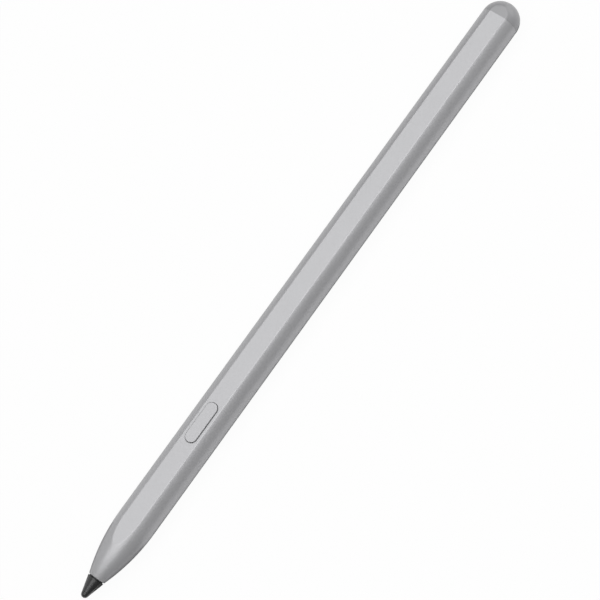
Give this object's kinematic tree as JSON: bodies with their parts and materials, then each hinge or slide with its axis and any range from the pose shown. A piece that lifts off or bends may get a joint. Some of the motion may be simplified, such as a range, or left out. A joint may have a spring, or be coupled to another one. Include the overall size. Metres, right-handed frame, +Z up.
{
  "type": "stylus pen",
  "caption": "Round stylus pen with one long flat, a slightly raised pill-shaped side button, a dark conical nib that senses pressure and a domed end cap.",
  "frame": {"origin": "on the table under the middle of the pen's length", "axes": "+X along the pen from the nib to the domed end, +Z up out of the flat, Y across"},
  "size_m": [0.162, 0.009, 0.0089],
  "materials": {
    "lacquered_shell": "satin lacquer on moulded plastic",
    "moulded_cap": "fine matt moulding",
    "nib_polymer": "satin conductive polymer",
    "seal_elastomer": "matt",
    "turned_steel": "turned",
    "acetal": "satin",
    "electrode_brass": "plain",
    "glass_filled_nylon": "matt",
    "sensor_ceramic": "plain",
    "board_laminate": "solder mask",
    "chip_epoxy": "matt",
    "capacitor_ceramic": "plain",
    "tinned_sheet": "tinned",
    "battery_can": "drawn",
    "nickel_strip": "plain",
    "foam": "open cell",
    "ferrite": "sintered",
    "copper_winding": "enamelled",
    "magnet_nickel": "nickel plate",
    "polyimide_flex": "film"
  },
  "bodies": {
    "barrel": {"barrel": "lacquered_shell", "end_cap": "moulded_cap", "cap_seal": "seal_elastomer", "guide_bush": "acetal", "tilt_electrode": "electrode_brass", "return_spring": "turned_steel", "sensor_holder": "glass_filled_nylon", "force_pad": "seal_elastomer", "pressure_sensor": "sensor_ceramic", "sensor_flex": "polyimide_flex", "chassis": "glass_filled_nylon", "main_board": "board_laminate", "processor": "chip_epoxy", "power_chip": "chip_epoxy", "board_capacitors": "capacitor_ceramic", "shield_can": "tinned_sheet", "radio_chip": "chip_epoxy", "switch_body": "chip_epoxy", "battery_cell": "battery_can", "battery_terminal": "nickel_strip", "battery_tab_left": "nickel_strip", "battery_tab_right": "nickel_strip", "battery_foam": "foam", "ferrite_core": "ferrite", "charging_coil": "copper_winding", "magnet_1": "magnet_nickel", "magnet_2": "magnet_nickel", "magnet_3": "magnet_nickel", "magnet_4": "magnet_nickel", "main_flex": "polyimide_flex", "antenna_board": "board_laminate", "antenna_chip": "sensor_ceramic"},
    "nib_plunger": {"nib_shaft": "turned_steel"},
    "nib": {"nib": "nib_polymer"},
    "button": {"side_button": "lacquered_shell"},
    "switch_plunger": {"switch_plunger": "acetal"}
  },
  "joints": [
    {"name": "nib_press", "type": "slide", "parent": "barrel", "child": "nib_plunger", "axis": [1, 0, 0], "range_m": [0, 0.0002], "stiffness_N_per_m": 4000, "deforming": ["return_spring", "force_pad"]},
    {"name": "nib_pull", "type": "slide", "parent": "nib_plunger", "child": "nib", "axis": [-1, 0, 0], "range_m": [0, 0.006]},
    {"name": "button_press", "type": "slide", "parent": "barrel", "child": "button", "axis": [0, 0, -1], "range_m": [0, 0.0002], "stiffness_N_per_m": 4000},
    {"name": "switch_press", "type": "slide", "parent": "barrel", "child": "switch_plunger", "axis": [0, 0, -1], "range_m": [0, 0.0002]}
  ],
  "couplings": [
    {"joint": "switch_press", "follows": "button_press", "ratio": 1}
  ]
}
